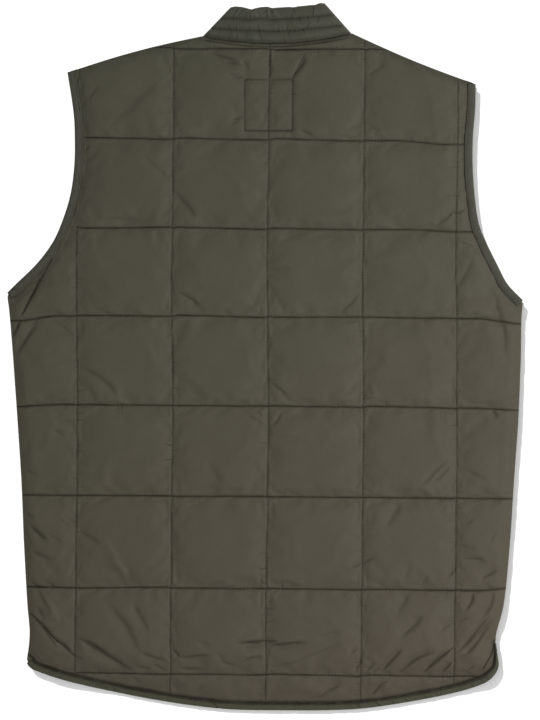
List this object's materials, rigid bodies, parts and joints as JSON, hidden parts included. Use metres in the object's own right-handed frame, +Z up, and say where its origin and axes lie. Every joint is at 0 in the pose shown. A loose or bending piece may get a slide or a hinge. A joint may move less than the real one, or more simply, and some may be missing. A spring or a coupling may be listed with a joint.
{
  "type": "gilet",
  "caption": "Sleeveless quilted gilet laid flat with its back uppermost: a padded body stitched in squares, a channelled stand collar, and bound armholes and hem.",
  "frame": {"origin": "centre of the gilet's outline, on the surface that it lies on", "axes": "+X across the back towards the wearer's right, +Y from the hem to the collar, +Z up out of the back"},
  "size_m": [0.5596, 0.7693, 0.0146],
  "materials": {
    "quilted_cloth": "olive nylon with a soft sheen",
    "binding": "plain woven tape, a little darker than the body",
    "stud": "dull bronze"
  },
  "bodies": {
    "root": {"back_panel": "quilted_cloth", "front_left": "quilted_cloth", "front_right": "quilted_cloth", "collar": "quilted_cloth", "armhole_binding_left_back": "binding", "armhole_binding_left_front": "binding", "armhole_binding_right_back": "binding", "armhole_binding_right_front": "binding", "hem_binding_back": "binding", "hem_binding_front_left": "binding", "hem_binding_front_right": "binding", "stud_1": "stud", "stud_2": "stud", "stud_3": "stud", "stud_4": "stud", "stud_5": "stud"}
  },
  "joints": []
}
